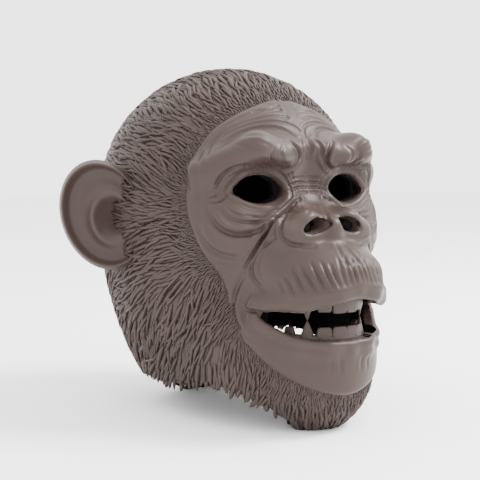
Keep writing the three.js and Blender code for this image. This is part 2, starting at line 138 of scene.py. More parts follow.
def cast(origin, direction, level=0.0, start=260.0):
    """Points where rays from outside meet the form grown by level."""
    r = np.full(direction.shape[:-1], start)
    for _ in range(46):
        d = head(origin + direction * r[..., None]) - level
        r = r - np.clip(d * 0.8, -3, 40)
    return origin + direction * r[..., None]


def settle(p, level=0.0, times=2):
    """Points moved onto the form grown by level."""
    for _ in range(times):
        p = p - gradient(p) * (head(p) - level)[..., None]
    return p


def smooth(lo, hi, x):
    t = np.clip((x - lo) / (hi - lo), 0, 1)
    return t * t * (3 - 2 * t)


def column(rows, x, k):
    """Value in column k of a table, smoothly between its rows."""
    rows = np.array(rows, float)
    i = np.clip(np.searchsorted(rows[:, 0], x, side="right") - 1, 0, len(rows) - 2)
    t = smooth(rows[i, 0], rows[i + 1, 0], x)
    return rows[i, k] * (1 - t) + rows[i + 1, k] * t


def edge_height(angle):
    deg = np.degrees(np.abs(angle))
    return np.where(angle > 0, column(LOWER_EDGE, deg, 2), column(LOWER_EDGE, deg, 1))


# Distance past the hairline in mm, negative on bare skin, in unrolled angle and height
LOOP = np.array([(math.radians(d) * FACE / 2, z) for z, d in HAIRLINE])
LOOP = np.concatenate([LOOP, LOOP[::-1][1:-1] * [-1, 1]])


def smooth_loop(pts, n):
    t = np.linspace(0, len(pts), n, endpoint=False)
    i = t.astype(int)
    f = (t - i)[:, None]
    p0, p1, p2, p3 = (pts[(i + k) % len(pts)] for k in (-1, 0, 1, 2))
    return 0.5 * (2 * p1 + (p2 - p0) * f + (2 * p0 - 5 * p1 + 4 * p2 - p3) * f ** 2
                  + (3 * p1 - p0 - 3 * p2 + p3) * f ** 3)


HAIR_LOOP = smooth_loop(LOOP, 120)


def polygon_distance(q, loop):
    """Signed distance to a closed outline in 2D, negative inside."""
    d = np.full(len(q), 1e9)
    inside = np.zeros(len(q), bool)
    for a, b in zip(loop, np.roll(loop, -1, 0)):
        ab = b - a
        w = q - a
        t = np.clip((w @ ab) / (ab @ ab + 1e-12), 0, 1)
        d = np.minimum(d, np.linalg.norm(w - t[:, None] * ab, axis=-1))
        cross = (a[1] > q[:, 1]) != (b[1] > q[:, 1])
        x = a[0] + (q[:, 1] - a[1]) * ab[0] / (ab[1] if abs(ab[1]) > 1e-12 else 1e-12)
        inside ^= cross & (q[:, 0] < x)
    return np.where(inside, -d, d)


def past_hairline(p):
    angle = np.arctan2(p[:, 0], -p[:, 1])
    q = np.stack([angle * FACE / 2, np.minimum(p[:, 2], 290)], -1)
    return polygon_distance(q, HAIR_LOOP)


# Camera rays, so that folds can be placed where they are seen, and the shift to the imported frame
az, el = math.radians(CAM_AZ), math.radians(CAM_EL)
CAM_OUT = np.array([math.sin(az) * math.cos(el), -math.cos(az) * math.cos(el), math.sin(el)])
CAM_AT = CAM_TARGET + CAM_OUT * CAM_DIST
CAM_RIGHT = np.array([math.cos(az), math.sin(az), 0.0])
CAM_UP = np.cross(CAM_RIGHT, -CAM_OUT)
SHIFT = np.array([0.0, -4.36, 0.0])


def seen(points):
    """Skin points under picture positions in the 480 by 480 view, on the near side."""
    q = np.array(points, float)
    v = (-CAM_OUT + CAM_RIGHT * ((q[:, :1] - 240) / CAM_PX) - CAM_UP * ((q[:, 1:] - 240) / CAM_PX))
    v /= np.linalg.norm(v, axis=1, keepdims=True)
    r = np.full(len(q), CAM_DIST - 320)
    for _ in range(60):
        r += np.clip(head(CAM_AT + v * r[:, None]) * 0.8, -2, 40)
        r = np.minimum(r, CAM_DIST + 60)
    p = CAM_AT + v * r[:, None]
    p[:, 0] = np.abs(p[:, 0])
    return p


def on_skin(course):
    """Smooth course on the skin under a run of picture positions."""
    line = seen(spline(course))
    for _ in range(4):
        line[1:-1] = (line[:-2] + 2 * line[1:-1] + line[2:]) / 4
    return settle(line)


# Folds: width and depth in mm, grooves positive and ridges negative, and their course in the view
FOLDS = [
    # forehead
    (1.6, 1.3, [(219, 147), (229, 138), (246, 130), (266, 127), (286, 129), (299, 139)]),
    (1.3, 1.0, [(223, 138), (236, 129), (256, 123), (278, 121), (297, 126), (305, 137)]),
    (1.2, 0.9, [(229, 130), (245, 122), (266, 117), (288, 116), (308, 120)]),
    (1.3, 0.9, [(238, 122), (258, 114), (282, 110), (306, 111), (318, 114)]),
    (1.1, 0.7, [(228, 125), (242, 117), (262, 110), (284, 106), (306, 106)]),
    (1.4, 0.8, [(207, 160), (208, 150), (215, 140), (226, 131)]),
    # glabella and brow ends
    (1.5, 3.0, [(289, 141), (298, 149), (299, 159), (293, 168), (284, 171)]),
    (1.2, 1.6, [(300, 138), (303, 148), (301, 158), (297, 164)]),
    (1.2, 1.6, [(274, 149), (270, 157), (275, 165), (287, 167)]),
    (1.0, 1.0, [(283, 146), (279, 153), (282, 161)]),
    (1.6, -1.0, [(305, 142), (306, 150), (306, 158)]),
    (1.3, 1.0, [(236, 145), (250, 147), (264, 151), (272, 154)]),
    (1.8, -0.9, [(240, 141), (254, 139), (268, 142), (275, 149)]),
    (1.3, 3.0, [(215, 187), (219, 178), (227, 170), (241, 165), (258, 164), (274, 167), (287, 171)]),
    # outer corner of the eye
    (1.0, 1.2, [(208, 201), (217, 202), (225, 197), (229, 191)]),
    (1.0, 0.8, [(207, 197), (213, 196), (219, 191)]),
    # lower lid and bag
    (1.0, 1.3, [(223, 205), (237, 215), (257, 217), (276, 212)]),
    (1.2, 1.5, [(219, 209), (232, 220), (249, 223), (267, 221), (284, 213)]),
    (1.8, -1.4, [(213, 207), (219, 220), (232, 229), (247, 230), (262, 226), (276, 219)]),
    (1.8, 2.2, [(207, 207), (211, 221), (222, 232), (238, 237), (254, 234), (268, 226), (280, 217)]),
    (2.2, 1.8, [(199, 226), (203, 241), (214, 252), (230, 257), (242, 257)]),
    (2.6, -0.9, [(193, 150), (190, 164), (191, 182), (193, 200)]),
    (2.4, 0.9, [(203, 140), (198, 158), (198, 180), (200, 200)]),
    # bridge of the nose
    (0.9, 1.1, [(291, 180), (296, 178), (302, 177), (307, 178)]),
    (0.9, 1.2, [(288, 186), (295, 183), (302, 182), (309, 183)]),
    (0.9, 1.2, [(289, 191), (296, 188), (304, 187), (311, 188)]),
    (0.9, 0.9, [(294, 196), (300, 193), (307, 192), (314, 193)]),
    # nose wing and the crease to the cheek
    (1.5, 2.2, [(301, 199), (291, 206), (284, 216), (280, 227), (281, 237), (287, 244), (299, 248),
                (315, 246)]),
    (1.15, 4.8, [(300, 198), (288, 207), (276, 221), (263, 238), (253, 253), (245, 268)]),
    (2.6, -1.4, [(290, 200), (278, 209), (266, 221), (254, 236), (246, 249)]),
    (1.2, 0.9, [(322, 207), (327, 215), (329, 226)]),
    # muzzle folds
    (1.5, 2.0, [(275, 238), (263, 245), (254, 257), (250, 270), (254, 282), (264, 290)]),
    (1.2, 1.0, [(266, 248), (260, 258), (258, 269), (263, 280)]),
    (2.2, 2.2, [(243, 275), (236, 288), (232, 302), (233, 318), (240, 331), (252, 341)]),
    (1.8, -1.1, [(247, 278), (240, 292), (236, 305), (237, 319), (243, 330)]),
    (1.4, 1.1, [(251, 292), (244, 303), (243, 315), (247, 327), (254, 334)]),
    (1.2, 1.0, [(254, 309), (248, 316), (251, 326), (258, 333)]),
    # upper lip
    (0.9, 1.2, [(277, 279), (281, 287), (285, 295)]),
    (1.0, 1.7, [(283, 274), (289, 285), (295, 296)]),
    (1.1, 1.9, [(291, 267), (298, 281), (305, 294)]),
    (1.1, 1.9, [(300, 266), (309, 280), (317, 292)]),
    (1.1, 2.0, [(311, 263), (319, 278), (326, 291)]),
    (1.0, 1.8, [(321, 262), (328, 276), (334, 289)]),
    (1.0, 1.5, [(330, 264), (335, 276), (340, 287)]),
    (1.0, 1.3, [(338, 258), (342, 272), (346, 286)]),
    (0.9, 1.3, [(344, 253), (348, 269), (352, 285)]),
    (0.9, 1.2, [(351, 256), (354, 269), (357, 283)]),
    (0.9, 1.1, [(357, 258), (359, 270), (362, 282)]),
    (0.9, 1.0, [(363, 258), (364, 269), (366, 280)]),
    (1.2, 0.9, [(336, 244), (341, 254), (346, 266)]),
    # corner of the mouth, edge of the upper lip and groove below the nose
    (1.3, 3.2, [(264, 314), (257, 312), (250, 311), (245, 309)]),
    (2.0, -0.6, [(276, 292), (292, 297), (310, 297), (330, 293), (350, 289), (361, 288)]),
    (2.2, 0.9, [(344, 246), (350, 254), (355, 262)]),
    # lower lip and chin
    (3.0, 1.4, [(262, 334), (280, 343), (300, 348), (322, 351), (345, 352)]),
    (1.4, 0.5, [(330, 358), (331, 366), (331, 374)]),
    (1.4, 0.5, [(340, 358), (341, 366), (341, 374)]),
]

EYE_LINES = [
    # distance from the eye's edge, width, depth above and below, in mm
    (3.2, 1.6, -0.9, -0.6), (5.6, 1.0, 1.9, 1.2), (8.6, 1.1, 1.1, 1.0), (11.4, 1.2, 1.0, 0.9),
]

# Soft swellings: place in the view, reach and height in mm
BULGES = [
    ((283, 157), 7, 3.4),
    ((262, 147), 9, 1.8),
    ((238, 150), 9, 1.6),
    ((293, 200), 8, 1.4),
    ((268, 214), 7, 1.4),
    ((243, 220), 9, 1.6),
    ((232, 246), 13, 2.0),
    ((289, 232), 8, 1.6),
    ((262, 262), 9, 1.4),
]


def spline(pts, n=14):
    pts = np.array(pts, float)
    ext = np.concatenate([[2 * pts[0] - pts[1]], pts, [2 * pts[-1] - pts[-2]]])
    t = np.linspace(0, len(pts) - 1 - 1e-6, n)
    i = t.astype(int)
    f = (t - i)[:, None]
    p0, p1, p2, p3 = (ext[i + k] for k in range(4))
    return 0.5 * (2 * p1 + (p2 - p0) * f + (2 * p0 - 5 * p1 + 4 * p2 - p3) * f ** 2
                  + (3 * p1 - p0 - 3 * p2 + p3) * f ** 3)


def fold_relief(p):
    """Outward displacement in mm that the folds give at points p."""
    q = np.stack([np.abs(p[:, 0]), p[:, 1], p[:, 2]], -1)
    out = np.zeros(len(p))
    for width, depth, course in FOLDS:
        line = on_skin(course)
        reach = 3.2 * width + 1
        near = np.all((q > line.min(0) - reach) & (q < line.max(0) + reach), axis=1)
        idx = np.nonzero(near)[0]
        if not len(idx):
            continue
        w = q[idx]
        best = np.full(len(idx), 1e9)
        share = np.zeros(len(idx))
        n = len(line) - 1
        for k in range(n):
            ab = line[k + 1] - line[k]
            t = np.clip(((w - line[k]) @ ab) / (ab @ ab + 1e-9), 0, 1)
            d = np.linalg.norm(w - line[k] - t[:, None] * ab, axis=1)
            closer = d < best
            best = np.where(closer, d, best)
            share = np.where(closer, (k + t) / n, share)
        fade = np.sqrt(np.clip(np.sin(np.pi * np.clip(share, 0.02, 0.98)), 0, 1))
        g = np.exp(-(best / width) ** 2)
        shoulder = np.exp(-((best - 2.1 * width) / width) ** 2)
        out[idx] += -depth * fade * (g - 0.32 * shoulder)
    # lines round the eye, spaced out from its edge: distance, width, depth above, depth below
    eye = np.nonzero((q[:, 0] < 84) & (q[:, 1] < -30) & (q[:, 2] > 166) & (q[:, 2] < 218))[0]
    s = polygon_distance(q[eye][:, [0, 2]], smooth_loop(np.array(EYE, float), 60))
    above = smooth(186, 195, q[eye, 2])
    for away, width, over, under in EYE_LINES:
        out[eye] -= np.exp(-((s - away) / width) ** 2) * (over * above + under * (1 - above))
    for place, reach, height in BULGES:
        out += height * np.exp(-((q - seen([place])) ** 2).sum(1) / reach ** 2)
    return out


# Openings seen from the front, in mm
EYE = [(66, 188.5), (61, 194), (53, 199), (43, 200.6), (34, 199.3), (27, 195.5), (22.8, 190),
       (25, 185.5), (31, 181.7), (39, 179.8), (47, 180), (55, 182), (61, 185)]
UPPER_EDGE = [(0, 105.4), (12, 104.6), (22, 101.8), (30, 98.5), (37, 96.4),
              (44, 95.6), (51, 95.5), (57, 95.6)]
LOWER_EDGE_LIP = [(59.5, 94.6), (56, 90.6), (51, 87), (45, 83), (38, 79.6), (30, 78), (15, 77.6), (0, 77.6)]
NOSTRIL = [(16.5 + 12 * math.cos(a) - 1.5 * math.sin(a), 162.5 + 6.8 * math.sin(a) - 2.2 * math.cos(a))
           for a in np.linspace(0, 2 * math.pi, 18, endpoint=False)]
MOUTH_SIDE = UPPER_EDGE + LOWER_EDGE_LIP
MOUTH = MOUTH_SIDE + [(-x, z) for x, z in MOUTH_SIDE[::-1][1:-1]]


def mirrored(outline):
    return [(-x, z) for x, z in outline][::-1]


HOLES = [
    # outline, what lies in front of y, rounding of the edge, depth of the turned-in rim, narrowing
    (EYE, -30, 2.6, 7.0, 1.08),
    (mirrored(EYE), -30, 2.6, 7.0, 1.08),
    (NOSTRIL, -80, 2.6, 16.0, 0.55),
    (mirrored(NOSTRIL), -80, 2.6, 16.0, 0.55),
    (MOUTH, -60, 5.0, 9.0, 1.0),
]
HOLES = [(smooth_loop(np.array(outline), 72), *sizes) for outline, *sizes in HOLES]
RIM_LAYERS = 5

# Grid of the face: middle of its rays, half its turn and its rise in degrees
FACE_MIDDLE = np.array([0.0, -5.0, 150.0])
FACE_TURN = 80
FACE_RISE = (-60, 70)
FACE_RADIUS = 110
# How far the face runs on under the hair, and how deep it sinks there, in mm
UNDER_HAIR = 7
UNDER_HAIR_SINK = 3.2


def mesh_object(name, verts, faces):
    mesh = bpy.data.meshes.new(name)
    mesh.from_pydata((np.asarray(verts) + SHIFT) * MM, [], [tuple(f) for f in faces])
    mesh.validate()
    mesh.polygons.foreach_set("use_smooth", [True] * len(mesh.polygons))
    obj = bpy.data.objects.new(name, mesh)
    bpy.context.collection.objects.link(obj)
    return obj


def grid_faces(rows, cols, wrap=False):
    i = np.arange(rows - 1)[:, None]
    j = np.arange(cols if wrap else cols - 1)[None, :]
    k = (j + 1) % cols
    a, b, c, d = i * cols + j, i * cols + k, (i + 1) * cols + k, (i + 1) * cols + j
    return np.stack(np.broadcast_arrays(a, b, c, d), -1).reshape(-1, 4)


def face_points(cols, rows, level):
    """Grid of points on the skin, spread evenly over it."""
    theta = np.radians(np.linspace(-FACE_TURN, FACE_TURN, cols))
    phi = np.radians(np.linspace(*FACE_RISE, rows))
    T, P = np.meshgrid(theta, phi)
    d = np.stack([np.sin(T) * np.cos(P), -np.cos(T) * np.cos(P), np.sin(P)], -1)
    pts = cast(FACE_MIDDLE, d.reshape(-1, 3), level).reshape(rows, cols, 3)
    # rays from the middle graze the skin under the brows, so the points there are spread most
    everywhere = (slice(0, rows), slice(0, cols))
    brows = (slice(rows * 52 // 100, rows * 80 // 100), slice(cols * 12 // 100, cols * 88 // 100))
    for part, times in ((everywhere, 4), (brows, 40)):
        g = pts[part]
        for _ in range(times):
            middle = (g[:-2, 1:-1] + g[2:, 1:-1] + g[1:-1, :-2] + g[1:-1, 2:]) / 4
            g[1:-1, 1:-1] = settle(g[1:-1, 1:-1] * 0.3 + middle * 0.7, level, 1)
    return pts.reshape(-1, 3)


def away_from(flat, outline, e=0.05):
    """Unit direction away from an outline."""
    gx = polygon_distance(flat + [e, 0], outline) - polygon_distance(flat - [e, 0], outline)
    gz = polygon_distance(flat + [0, e], outline) - polygon_distance(flat - [0, e], outline)
    g = np.stack([gx, gz], -1)
    return g / (np.linalg.norm(g, axis=1, keepdims=True) + 1e-9)


def open_holes(pts, normal, step):
    """Moves points just inside an opening's outline onto it. Gives how far the skin rounds inwards, the
    points to cut away and the opening whose edge each point is on."""
    depth = np.zeros(len(pts))
    cut = np.zeros(len(pts), bool)
    hole_of = np.full(len(pts), -1)
    for k, (outline, front, rounding, _, _) in enumerate(HOLES):
        flat = pts[:, [0, 2]]
        near = np.all(flat > outline.min(0) - 12, axis=1) & np.all(flat < outline.max(0) + 12, axis=1)
        idx = np.nonzero(near & (pts[:, 1] < front))[0]
        s = polygon_distance(flat[idx], outline)
        snap = (s < 0) & (s > -step)
        move = -away_from(flat[idx], outline)[snap] * s[snap][:, None]
        moved = pts[idx[snap]]
        moved[:, [0, 2]] += move
        slope = normal[idx[snap]]
        moved[:, 1] -= (slope[:, [0, 2]] * move).sum(1) / np.minimum(slope[:, 1], -0.3)
        pts[idx[snap]] = moved
        cut[idx[s < -1e-6]] = True
        cut[idx[snap]] = False
        inside = np.clip(1 - np.maximum(s, 0) / rounding, 0, 1)
        depth[idx] = np.minimum(depth[idx], -rounding * 0.75 * (1 - np.sqrt(1 - inside ** 2 * 0.98)))
        hole_of[idx[snap]] = k
    return depth, cut, hole_of


def turned_rims(pts, faces, hole_of):
    """Points and faces of the rims that turn in from the openings' edges."""
    edges = {}
    for a, b, c, d in faces.tolist():
        for p, q in ((a, b), (b, c), (c, d), (d, a)):
            key = (min(p, q), max(p, q))
            edges[key] = None if key in edges else (p, q)
    border = [e for e in edges.values() if e is not None]
    verts, extra = [], []
    base = len(pts)
    for k, (outline, _, _, deep, narrow) in enumerate(HOLES):
        mid = outline.mean(0)
        loop = [e for e in border if hole_of[e[0]] == k and hole_of[e[1]] == k]
        ids = sorted({v for e in loop for v in e})
        previous = {v: v for v in ids}
        for n in range(1, RIM_LAYERS + 1):
            t = n / RIM_LAYERS
            q = pts[ids]
            q[:, 1] += deep * t
            q[:, [0, 2]] = mid + (q[:, [0, 2]] - mid) * (1 + (narrow - 1) * t)
            verts.append(q)
            current = {v: base + i for i, v in enumerate(ids)}
            extra += [(previous[b], previous[a], current[a], current[b]) for a, b in loop]
            previous = current
            base += len(ids)
    return np.concatenate(verts), np.array(extra).reshape(-1, 4)


def face_skin(name, cols, rows, level, detailed):
    """The bare face from the hairline inwards, with its openings and turned-in rims."""
    pts = face_points(cols, rows, level)
    past = past_hairline(pts)
    faces = grid_faces(rows, cols)
    faces = faces[np.all(past[faces] < UNDER_HAIR, axis=1)]
    used = np.unique(faces)
    renumber = np.full(len(pts), -1)
    renumber[used] = np.arange(len(used))
    pts, past, faces = pts[used], past[used], renumber[faces]
    normal = gradient(pts)
    grid_deg = max(2 * FACE_TURN / cols, (FACE_RISE[1] - FACE_RISE[0]) / rows)
    depth, cut, hole_of = open_holes(pts, normal, 2.2 * math.radians(grid_deg) * FACE_RADIUS)
    relief = fold_relief(pts) if detailed else 0
    sink = -UNDER_HAIR_SINK * np.clip(past / 6, 0, 1) ** 2
    pts = pts + normal * (depth + relief + sink)[:, None]
    faces = faces[~np.any(cut[faces], axis=1)]
    rim_pts, rim_faces = turned_rims(pts, faces, hole_of)
    return mesh_object(name, np.concatenate([pts, rim_pts]), np.concatenate([faces, rim_faces]))


def hood_rings(cols, low_rows, dome_rows, level):
    """Rings of points from the lower edge to the crown."""
    angle = np.linspace(-math.pi, math.pi, cols, endpoint=False)
    v = np.linspace(0, 1, low_rows, endpoint=False)
    rise = np.linspace(0, math.pi / 2 * 0.985, dome_rows)
    origin = np.zeros((low_rows + dome_rows, cols, 3))
    origin[:low_rows, :, 2] = edge_height(angle) * (1 - v[:, None]) + DOME_Z * v[:, None]
    origin[low_rows:, :, 2] = DOME_Z
    up = np.concatenate([np.zeros(low_rows), rise])[:, None]
    d = np.stack([np.sin(angle) * np.cos(up), -np.cos(angle) * np.cos(up), np.sin(up) + 0 * angle], -1)
    return cast(origin.reshape(-1, 3), d.reshape(-1, 3), level)


def hood_wall(name, cols, low_rows, dome_rows, level, keep_past, rim_level=None):
    """Skin of the hood past the hairline, with the lower edge turned in to rim_level."""
    pts = hood_rings(cols, low_rows, dome_rows, level)
    top = cast(np.array([[0, 0, DOME_Z]]), np.array([[0.0, 0, 1.0]]), level)
    faces = grid_faces(low_rows + dome_rows, cols, True)
    past = past_hairline(pts)
    faces = faces[np.any(past[faces] > keep_past, axis=1)]
    last = (low_rows + dome_rows - 1) * cols
    j = np.arange(cols)
    cap = np.stack([last + j, last + (j + 1) % cols, np.full(cols, len(pts))], -1)
    verts = np.concatenate([pts, top])
    all_faces = [tuple(f) for f in faces] + [tuple(f) for f in cap]
    if rim_level is not None:
        inner = pts[:cols] - gradient(pts[:cols]) * (level - rim_level)
        start = len(verts)
        verts = np.concatenate([verts, inner])
        all_faces += [(j0, start + j0, start + (j0 + 1) % cols, (j0 + 1) % cols) for j0 in range(cols)]
    return mesh_object(name, verts, all_faces)


# Fur: locks that start under the skin and lie along the growth, away from the face and down
GROWTH_FROM = np.array([0.0, -95.0, 150.0])
HEAD_MIDDLE = np.array([0.0, 12.0, 140.0])
ROOT_LEVEL = -2.4
FUR_SKIN_LEVEL = -2.6
LOCK_TRIES = 150000
# Lock length and width at the hairline, what they gain away from it, and what they gain low down
LOCK_LENGTH = (5, 17, 6)
LOCK_WIDTH = (1.5, 3.0, 0.4)
LOCK_SPACING = 0.5


def growth(p, n):
    """Direction in which the fur lies."""
    away = p - GROWTH_FROM
    away -= n * (away * n).sum(1, keepdims=True)
    away /= np.linalg.norm(away, axis=1, keepdims=True) + 1e-9
    down = np.array([0, 0, -1.0]) - n * -n[:, 2:3]
    low = np.clip((178 - p[:, 2]) / 110, 0, 1)
    back = np.clip((p[:, 1] - 45) / 90, 0, 1)
    under = np.clip((60 - p[:, 2]) / 50, 0, 1) * np.clip(-p[:, 1] / 60, 0, 1)
    g = away + down * (1.1 * low + 1.0 * back + 0.5 * under)[:, None]
    return g / (np.linalg.norm(g, axis=1, keepdims=True) + 1e-9)


def lock_sizes(past, p):
    """Length and width of the locks, small at the hairline."""
    t = smooth(0, 30, past)
    low = np.clip((120 - p[:, 2]) / 80, 0, 1)
    length = LOCK_LENGTH[0] + (LOCK_LENGTH[1] + LOCK_LENGTH[2] * low) * t
    width = LOCK_WIDTH[0] + (LOCK_WIDTH[1] + LOCK_WIDTH[2] * low) * t
    return length, width


NEIGHBOURS = [(x, y, z) for x in (-1, 0, 1) for y in (-1, 0, 1) for z in (-1, 0, 1)]


def scatter(count):
    """Roots of the locks, each kept clear of those chosen before it."""
    u = RNG.uniform(-1, 1, count)
    a = RNG.uniform(-math.pi, math.pi, count)
    c = np.sqrt(1 - u * u)
    d = np.stack([c * np.sin(a), -c * np.cos(a), u], -1)
    p = cast(HEAD_MIDDLE, d, ROOT_LEVEL)
    past = past_hairline(p)
    angle = np.arctan2(p[:, 0], -p[:, 1])
    keep = (past > 0.6) & (p[:, 2] > edge_height(angle) + 1.0)
    p, past = p[keep], past[keep]
    length, width = lock_sizes(past, p)
    gap = np.sqrt(length * width) * LOCK_SPACING
    size = 6.0
    cells = {}
    chosen = []
    for i, home in enumerate(np.floor(p / size).astype(int).tolist()):
        around = (cells.get((home[0] + x, home[1] + y, home[2] + z), ()) for x, y, z in NEIGHBOURS)
        if not any(math.dist(p[m], p[i]) < gap[i] for cell in around for m in cell):
            cells.setdefault(tuple(home), []).append(i)
            chosen.append(i)
    return p[chosen], past[chosen]


SECTIONS = [
    # share of length, half width, height over the skin, thickness
    (0.0, 0.45, -1.0, 0.6),
    (0.18, 0.85, 0.2, 0.9),
    (0.42, 1.0, 0.8, 1.0),
    (0.66, 0.85, 1.2, 0.9),
    (0.86, 0.5, 1.4, 0.6),
    (1.0, 0.04, 1.3, 0.1),
]


def fur_locks(name, root, past):
    """Pointed locks of three-sided section, bent a little and lying on the skin."""
    count = len(root)
    length, width = lock_sizes(past, root)
    length = length * RNG.uniform(0.7, 1.3, count)
    width = width * RNG.uniform(0.75, 1.2, count)
    scale = np.clip(width / 3.0, 0.35, 1.1)
    lift = RNG.uniform(0.7, 1.3, count) * scale
    bend = RNG.normal(0, 0.35, count)
    turn = RNG.normal(0, 0.16, count) + 0.22 * np.sin(root[:, 2] * 0.09 + root[:, 1] * 0.05)
    p = settle(root, ROOT_LEVEL)
    # locks near the lower edge end a little below it
    flow = growth(p, gradient(p))
    room = p[:, 2] - edge_height(np.arctan2(p[:, 0], -p[:, 1])) + RNG.uniform(1.5, 7.5, count)
    length = np.minimum(length, np.maximum(room / np.maximum(-flow[:, 2], 0.2), 3.0))
    rings = []
    last = 0.0
    for share, half_width, height, thick in SECTIONS:
        n = gradient(p)
        g = growth(p, n)
        side = np.cross(n, g)
        a = turn + bend * (share - 0.3)
        g = g * np.cos(a)[:, None] + side * np.sin(a)[:, None]
        if share > last:
            p = settle(p + g * (length * (share - last))[:, None], ROOT_LEVEL, 1)
            n = gradient(p)
            side = np.cross(n, g)
        last = share
        w = (width / 2 * half_width)[:, None] * side
        base = p + n * (height * lift)[:, None]
        tall = n * (thick * scale)[:, None]
        rings.append(np.stack([base - w - tall * 0.5, base + tall * 0.6, base + w - tall * 0.5], 1))
    verts = np.stack(rings, 1)
    verts[..., 2] = np.maximum(verts[..., 2], 0.4)
    verts = verts.reshape(-1, 3)
    per = len(SECTIONS) * 3
    quads = []
    for s in range(len(SECTIONS) - 1):
        for c in range(3):
            d = (c + 1) % 3
            quads.append((s * 3 + c, s * 3 + d, (s + 1) * 3 + d, (s + 1) * 3 + c))
    quads = np.array(quads)
    start = (np.arange(count) * per)[:, None, None]
    faces = (quads[None] + start).reshape(-1, 4)
    return mesh_object(name, verts, faces)


# Ears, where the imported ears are
EAR_ROOT = np.array([112.0, 20.0, 168.0])
EAR_REACH = 36.0
EAR_HALF_HEIGHT = 45.0
EAR_MIDDLE = 19.0
EAR_SHEAR = 0.13
EAR_CONCHA = 8.0
EAR_FLARE_DEG = 37.0


def ear(name, side, cols, rows):
    """Dish with a rolled rim, an inner fold and a deep hollow, closed behind."""
    flare = math.radians(EAR_FLARE_DEG)
    out = np.array([side * math.cos(flare), math.sin(flare), 0])
    facing = np.array([side * math.sin(flare), -math.cos(flare), 0])
    root = EAR_ROOT * [side, 1, 1]
    a = np.linspace(0, 2 * math.pi, cols, endpoint=False)
    up = np.sin(a) * EAR_HALF_HEIGHT
    edge = EAR_MIDDLE + np.cos(a) * EAR_REACH + up * EAR_SHEAR

    def front(s):
        outward = np.clip(np.cos(a - 0.35), -1, 1)
        fold = 0.43 - 0.1 * np.sin(a)
        fold_height = 0.075 * smooth(-0.9, 0.5, outward) * smooth(1.25, 0.6, np.sin(a))
        bowl = -0.34 + 0.27 * smooth(0.08, 0.46, s) + 0.04 * smooth(0.8, 1, s)
        scapha = -0.035 * np.exp(-((s - 0.68) / 0.12) ** 2)
        helix = (0.16 + 0.03 * np.sin(a)) * np.exp(-((s - 0.93) / 0.054) ** 2)
        return bowl + fold_height * np.exp(-((s - fold) / 0.085) ** 2) + scapha + helix

    def layer(s, h):
        o = EAR_CONCHA + (edge - EAR_CONCHA) * s
        u = up * s
        h = np.broadcast_to(h, a.shape) * EAR_HALF_HEIGHT
        h = h + 7.0 * np.exp(-((o + 1.0) ** 2 + (u + 9.0) ** 2) / 30.0) * (1 if s < 0.75 else 0)
        return root + out * o[:, None] + np.array([0, 0, 1.0]) * u[:, None] + facing * h[:, None]

    rings = []
    for s in np.linspace(0, 1, rows)[1:]:
        rings.append(layer(s, front(s)))
    for turn in (0.35, 0.7):
        rings.append(layer(1 + 0.012 * math.sin(math.pi * turn), front(1.0) * (1 - turn) - 0.06 * turn))
    for s in np.linspace(1, 0, rows // 2)[:-1]:
        rings.append(layer(s * 0.985, -0.08 - 0.26 * (1 - s * s)))
    hollow_end = layer(0, front(0.0))[:1]
    back_end = layer(0, np.full(cols, -0.34))[:1] - facing * 3
    verts = np.concatenate(rings + [hollow_end, back_end])
    faces = [tuple(f) for f in grid_faces(len(rings), cols, True)]
    end = len(rings) * cols
    for j in range(cols):
        k = (j + 1) % cols
        faces.append((k, j, end))
        faces.append((end - cols + j, end - cols + k, end + 1))
    return mesh_object(name, verts, faces)


# Teeth on a curved gum: half width, depth and rear end of the arch
ARCH = (38.0, 47.0, -84.0)
TEETH = [
    # degrees from the middle, width, upper length, lower length, pointed
    (9, 13.4, 9.5, 6.5, 0), (28, 12.6, 8.5, 6, 0), (48, 13, 15.5, 11, 1), (69, 9, 5.5, 5, 0),
]


TOOTH_DEPTH = 5.2
POINTED_DEPTH = 7.5
TOOTH_ROOT = 4
GUM_HALF_DEPTH = 3
GUM_TURN = 80
GUM_LONG = 60
GUM_ROUND = 20


def arch_point(angle):
    across = math.sin(angle) * (ARCH[0] - GUM_HALF_DEPTH)
    return np.array([across, ARCH[2] - math.cos(angle) * (ARCH[1] - GUM_HALF_DEPTH)])


def rounded(c, power):
    """Cosine or sine of a squared-off ring."""
    return np.sign(c) * np.abs(c) ** power


def tooth(centre, angle, wide, deep, low, high, pointed, standing):
    """Rounded crown between two heights."""
    u = np.linspace(0, 2 * math.pi, 28, endpoint=False)
    v = np.linspace(0, 1, 15)
    verts = []
    for t in v:
        s = 1 - t
        if pointed:
            size = s ** 0.9 + 0.03
        else:
            size = 0.86 + 0.14 * math.sin(math.pi * min(t + 0.15, 1))
            size *= 1 - max(t - 0.86, 0) / 0.14 * 0.22
        c, n = np.cos(u), np.sin(u)
        power = 0.85 if pointed else 0.42
        x = rounded(c, power) * wide / 2 * size
        y = rounded(n, power) * deep / 2 * (size if pointed else size * (1 - 0.25 * t))
        z = low + (high - low) * t if standing else high - (high - low) * t
        verts.append(np.stack([centre[0] + x * math.cos(angle) - y * math.sin(angle),
                               centre[1] + x * math.sin(angle) + y * math.cos(angle),
                               np.full(len(u), z)], -1))
    verts = np.concatenate(verts)
    faces = [tuple(f) for f in grid_faces(len(v), len(u), True)]
    faces.append(tuple(range(len(u) - 1, -1, -1)))
    faces.append(tuple(range((len(v) - 1) * len(u), len(v) * len(u))))
    return verts, faces


